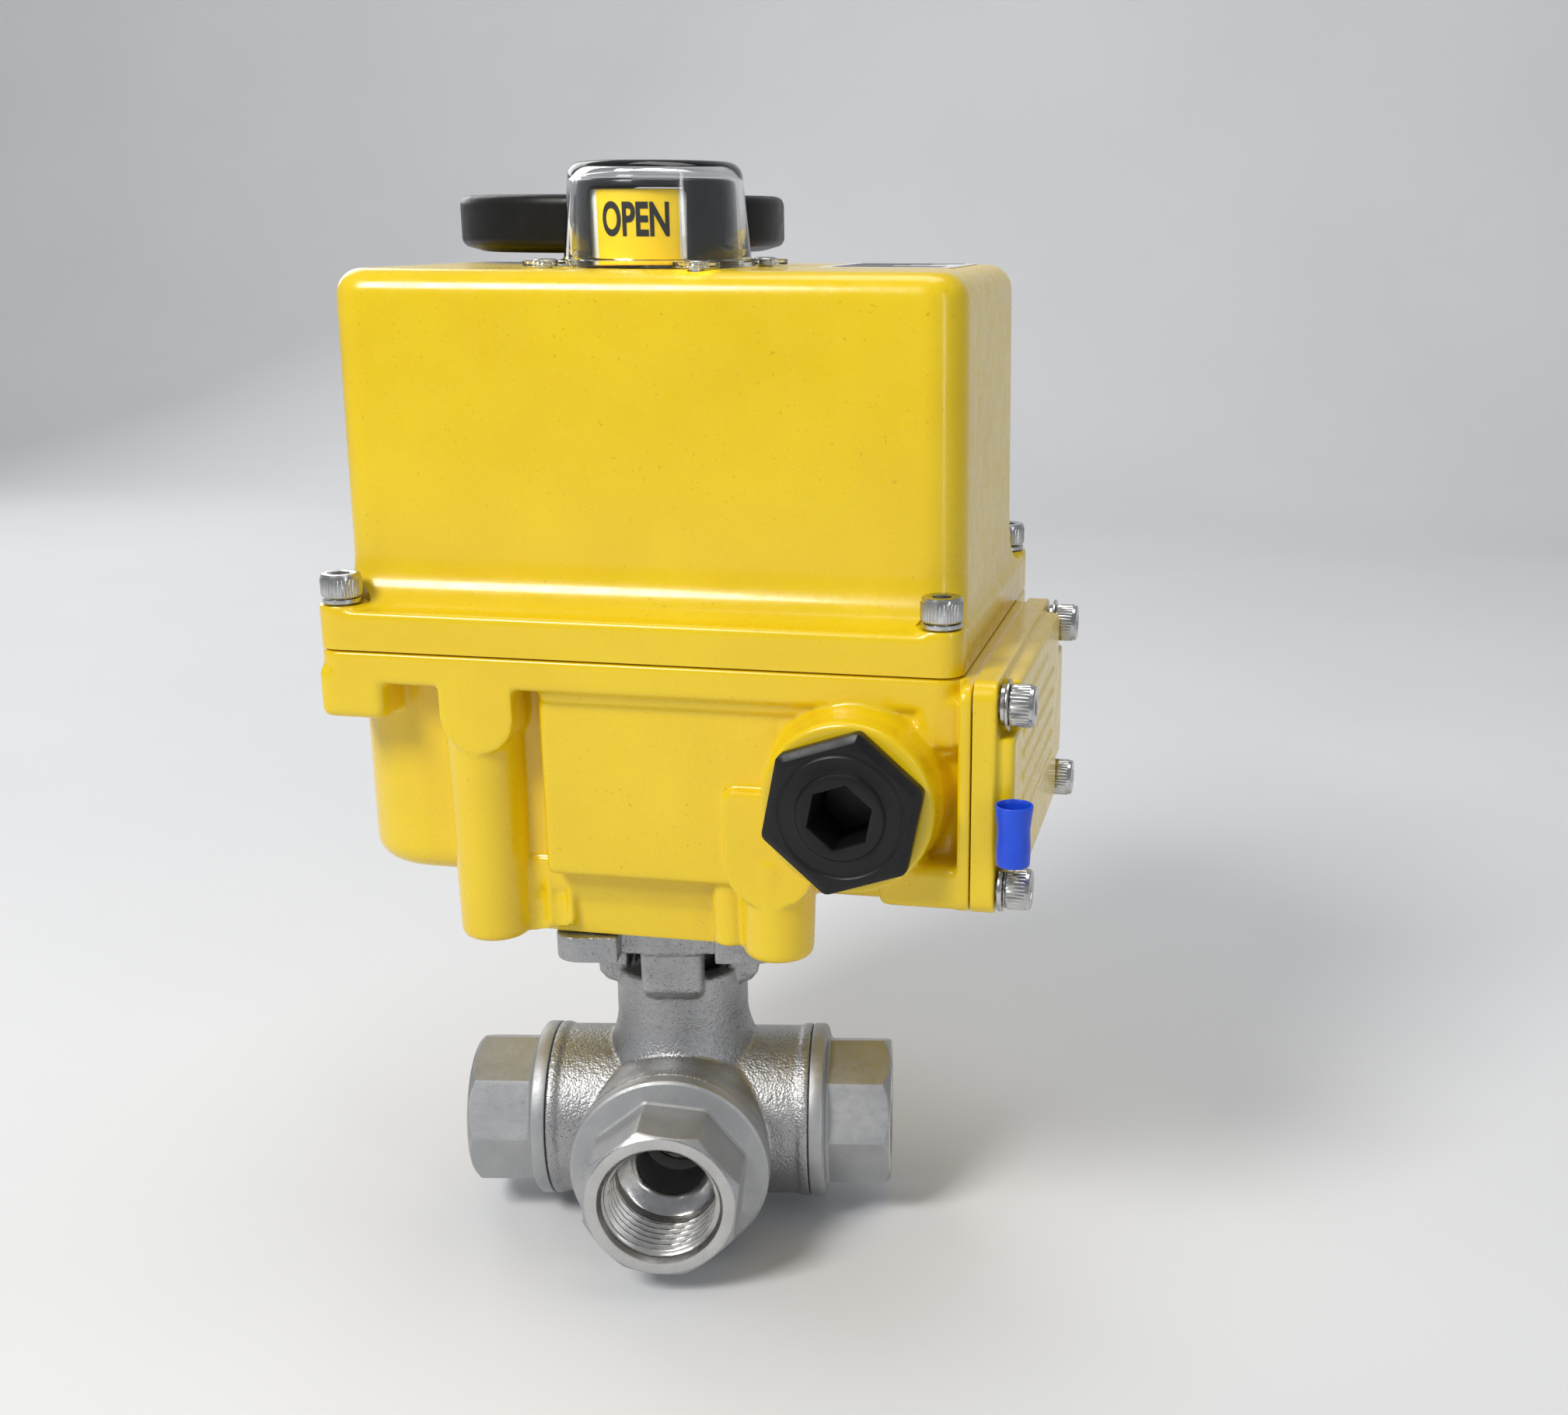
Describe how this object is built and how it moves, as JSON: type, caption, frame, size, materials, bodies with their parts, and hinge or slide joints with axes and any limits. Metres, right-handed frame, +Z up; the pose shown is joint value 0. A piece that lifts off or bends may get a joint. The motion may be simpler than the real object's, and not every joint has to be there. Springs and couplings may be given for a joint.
{
  "type": "motorized valve actuator",
  "caption": "Yellow electric quarter-turn actuator with a position dome, manual handwheel and side terminal cover, mounted on a small stainless three-way ball valve.",
  "frame": {"origin": "centre of the ball, where the port axes and the drive axis cross", "axes": "+Z up the drive axis, -Y towards the actuator's front and its cable entry, +X towards the terminal cover; the valve's own axes are turned 10 degrees about Z"},
  "size_m": [0.1252, 0.1181, 0.1937],
  "materials": {
    "yellow_paint": "gloss yellow powder coat with a light orange peel",
    "indicator_yellow": "gloss yellow moulding",
    "black_plastic": "satin black moulding",
    "seal_rubber": "dull black",
    "stainless": "machined stainless steel",
    "cast_stainless": "blasted investment casting with machined faces",
    "clear_cover": "clear polycarbonate",
    "blue_vinyl": "soft blue vinyl",
    "tinned": "tinned or anodised sheet",
    "steel": "turned steel",
    "brass": "turned brass",
    "white_plastic": "white terminal moulding",
    "board_green": "green solder mask",
    "ptfe": "white fluoropolymer"
  },
  "bodies": {
    "housing": {"base_housing": "yellow_paint", "cover": "yellow_paint", "terminal_cover": "yellow_paint", "cover_gasket": "seal_rubber", "terminal_gasket": "seal_rubber", "cover_screw_1": "stainless", "cover_screw_2": "stainless", "cover_screw_3": "stainless", "cover_screw_4": "stainless", "terminal_screw_1": "stainless", "terminal_screw_2": "stainless", "terminal_screw_3": "stainless", "terminal_screw_4": "stainless", "cable_plug": "black_plastic", "ground_lug": "tinned", "ground_sleeve": "blue_vinyl", "rating_plate": "tinned", "indicator_dome": "clear_cover", "indicator_shroud": "black_plastic", "dome_screw_1": "stainless", "dome_screw_2": "stainless", "dome_screw_3": "stainless", "dome_screw_4": "stainless", "gear_plate": "steel", "motor": "steel", "upper_bush": "brass", "lower_bush": "brass", "open_switch": "black_plastic", "shut_switch": "black_plastic", "terminal_block": "white_plastic", "control_board": "board_green", "manual_shaft_bush": "brass", "first_gear_pin": "steel", "second_gear_pin": "steel", "valve_body": "cast_stainless", "left_end_cap": "cast_stainless", "right_end_cap": "cast_stainless", "front_end_cap": "cast_stainless", "left_seat": "ptfe", "right_seat": "ptfe", "front_seat": "ptfe", "gland_nut": "stainless", "stem_packing": "ptfe", "pad_screw_1": "stainless", "pad_screw_2": "stainless", "pad_screw_3": "stainless", "pad_screw_4": "stainless"},
    "manual_drive": {"handwheel": "black_plastic", "manual_shaft": "steel", "handwheel_grub_screw": "stainless"},
    "drive_train": {"drive_shaft": "steel", "output_gear": "steel", "open_cam": "black_plastic", "shut_cam": "black_plastic", "indicator_drum": "indicator_yellow", "stem": "stainless", "ball": "stainless"},
    "second_reduction": {"second_gear": "steel"},
    "first_reduction": {"first_gear": "steel"},
    "motor_rotor": {"motor_pinion": "brass"}
  },
  "joints": [
    {"name": "handwheel_turn", "type": "hinge", "parent": "housing", "child": "manual_drive", "pos_m": [-0.021, 0.044, 0], "axis": [0, 0, 1], "range_deg": [0, 825]},
    {"name": "output_turn", "type": "hinge", "parent": "housing", "child": "drive_train", "pos_m": [0, 0, 0], "axis": [0, 0, 1], "range_deg": [0, 90]},
    {"name": "second_gear_turn", "type": "hinge", "parent": "housing", "child": "second_reduction", "pos_m": [-0.01594, 0.02054, 0], "axis": [0, 0, 1], "range_deg": [-300.01, 0]},
    {"name": "first_gear_turn", "type": "hinge", "parent": "housing", "child": "first_reduction", "pos_m": [-0.03429, 0.00769, 0], "axis": [0, 0, 1], "range_deg": [0, 1100.01]},
    {"name": "motor_turn", "type": "hinge", "parent": "housing", "child": "motor_rotor", "pos_m": [-0.03158, 0.02305, 0], "axis": [0, 0, 1], "range_deg": [-3666.7, 0]}
  ],
  "couplings": [
    {"joint": "output_turn", "follows": "handwheel_turn", "ratio": 0.10909},
    {"joint": "second_gear_turn", "follows": "handwheel_turn", "ratio": -0.36364},
    {"joint": "first_gear_turn", "follows": "handwheel_turn", "ratio": 1.3333},
    {"joint": "motor_turn", "follows": "handwheel_turn", "ratio": -4.4444}
  ]
}
